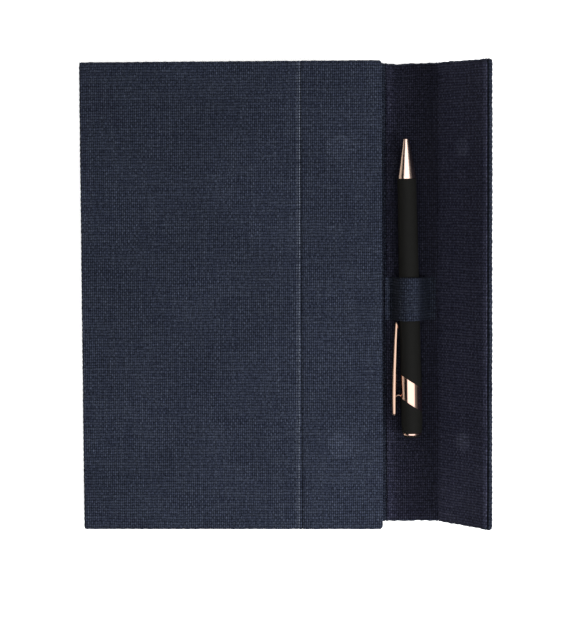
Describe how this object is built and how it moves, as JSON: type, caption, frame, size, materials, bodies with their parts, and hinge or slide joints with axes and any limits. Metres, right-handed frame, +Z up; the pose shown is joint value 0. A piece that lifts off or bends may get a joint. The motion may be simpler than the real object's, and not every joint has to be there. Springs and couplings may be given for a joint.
{
  "type": "pilot logbook",
  "caption": "Navy cloth-covered logbook with square spine, creased front cover, fold-over magnetic flap, gusset and a twist pen held in a cloth loop.",
  "frame": {"origin": "centre of the back cover's underside, on the table", "axes": "+Z up through the closed book; +Y towards the head of the pages; +X from the spine towards the flap"},
  "size_m": [0.191, 0.218, 0.028],
  "materials": {
    "cover_cloth": "matte woven linen book-cloth, navy",
    "lining_cloth": "matte woven linen, navy, in the shade of the fold",
    "board": "grey-brown binder's board",
    "endpaper": "matte ivory endpaper",
    "pages": "matte off-white writing paper",
    "gauze": "open-weave cotton gauze",
    "end_band": "woven navy band",
    "magnet": "nickel-plated disc",
    "soft_black": "soft-touch black coating",
    "rose_gold": "polished rose-gold plating",
    "twist_plastic": "moulded grey plastic",
    "refill_plastic": "smooth extruded tube",
    "refill_brass": "turned brass"
  },
  "bodies": {
    "back_cover": {"back_cloth": "cover_cloth", "back_board": "board", "rear_pastedown": "endpaper", "rear_flyleaf": "endpaper", "spine_cloth": "cover_cloth", "spine_board": "board", "spine_mull": "gauze", "head_band": "end_band", "tail_band": "end_band", "signature_1": "pages", "signature_2": "pages", "signature_3": "pages", "signature_4": "pages", "signature_5": "pages", "signature_6": "pages"},
    "front_cover": {"front_cloth": "cover_cloth", "front_board": "board", "front_pastedown": "endpaper"},
    "cover_strip": {"strip_cloth": "cover_cloth", "strip_board": "board", "strip_lining": "lining_cloth", "front_magnets": "magnet"},
    "front_leaves": {"front_flyleaves": "endpaper"},
    "upper_pages": {"signature_8": "pages"},
    "middle_pages": {"signature_7": "pages"},
    "gusset": {"gusset_cloth": "cover_cloth", "gusset_board": "board", "gusset_lining": "lining_cloth", "pen_loop": "lining_cloth"},
    "flap": {"flap_cloth": "cover_cloth", "flap_board": "board", "flap_lining": "lining_cloth", "flap_magnets": "magnet"},
    "pen": {"pen_rear_barrel": "soft_black", "pen_band": "rose_gold", "pen_clip": "rose_gold", "pen_end_ring": "rose_gold", "pen_end_cap": "soft_black", "pen_twist_unit": "twist_plastic"},
    "pen_front": {"pen_front_barrel": "soft_black", "pen_nose": "rose_gold", "pen_centre_ring": "rose_gold"},
    "refill": {"refill_tube": "refill_plastic", "refill_point": "refill_brass"}
  },
  "joints": [
    {"name": "cover_open", "type": "hinge", "parent": "back_cover", "child": "front_cover", "pos_m": [-0.0703, 0, 0.0205], "axis": [0, -1, 0], "range_deg": [0, 180]},
    {"name": "strip_fold", "type": "hinge", "parent": "front_cover", "child": "cover_strip", "pos_m": [0.0316, 0, 0.0242], "axis": [0, -1, 0], "range_deg": [0, 150]},
    {"name": "front_leaves_turn", "type": "hinge", "parent": "back_cover", "child": "front_leaves", "pos_m": [-0.0665, 0, 0.0205], "axis": [0, -1, 0], "range_deg": [0, 172]},
    {"name": "upper_pages_turn", "type": "hinge", "parent": "back_cover", "child": "upper_pages", "pos_m": [-0.0665, 0, 0.0199], "axis": [0, -1, 0], "range_deg": [0, 86]},
    {"name": "middle_pages_turn", "type": "hinge", "parent": "back_cover", "child": "middle_pages", "pos_m": [-0.0665, 0, 0.0179], "axis": [0, -1, 0], "range_deg": [0, 43]},
    {"name": "flap_lift", "type": "hinge", "parent": "back_cover", "child": "gusset", "pos_m": [0.0719, 0, 0.00025], "axis": [0, -1, 0], "range_deg": [0, 90]},
    {"name": "flap_fold", "type": "hinge", "parent": "gusset", "child": "flap", "pos_m": [0.0976, 0, 0.00025], "axis": [0, -1, 0], "range_deg": [-49, 41]},
    {"name": "pen_slide", "type": "slide", "parent": "gusset", "child": "pen", "axis": [0.0183, -0.9998, 0], "range_m": [0, 0.09]},
    {"name": "pen_twist", "type": "hinge", "parent": "pen", "child": "pen_front", "pos_m": [0.083, -0.0028, 0.0071], "axis": [-0.0183, 0.9998, 0], "range_deg": [0, 180]},
    {"name": "refill_advance", "type": "slide", "parent": "pen_front", "child": "refill", "axis": [-0.0183, 0.9998, 0], "range_m": [0, 0.004]}
  ],
  "couplings": [
    {"joint": "front_leaves_turn", "follows": "cover_open", "ratio": 0.95},
    {"joint": "upper_pages_turn", "follows": "cover_open", "ratio": 0.47},
    {"joint": "middle_pages_turn", "follows": "cover_open", "ratio": 0.23},
    {"joint": "refill_advance", "follows": "pen_twist", "m_per_rad": 0.0012573}
  ]
}
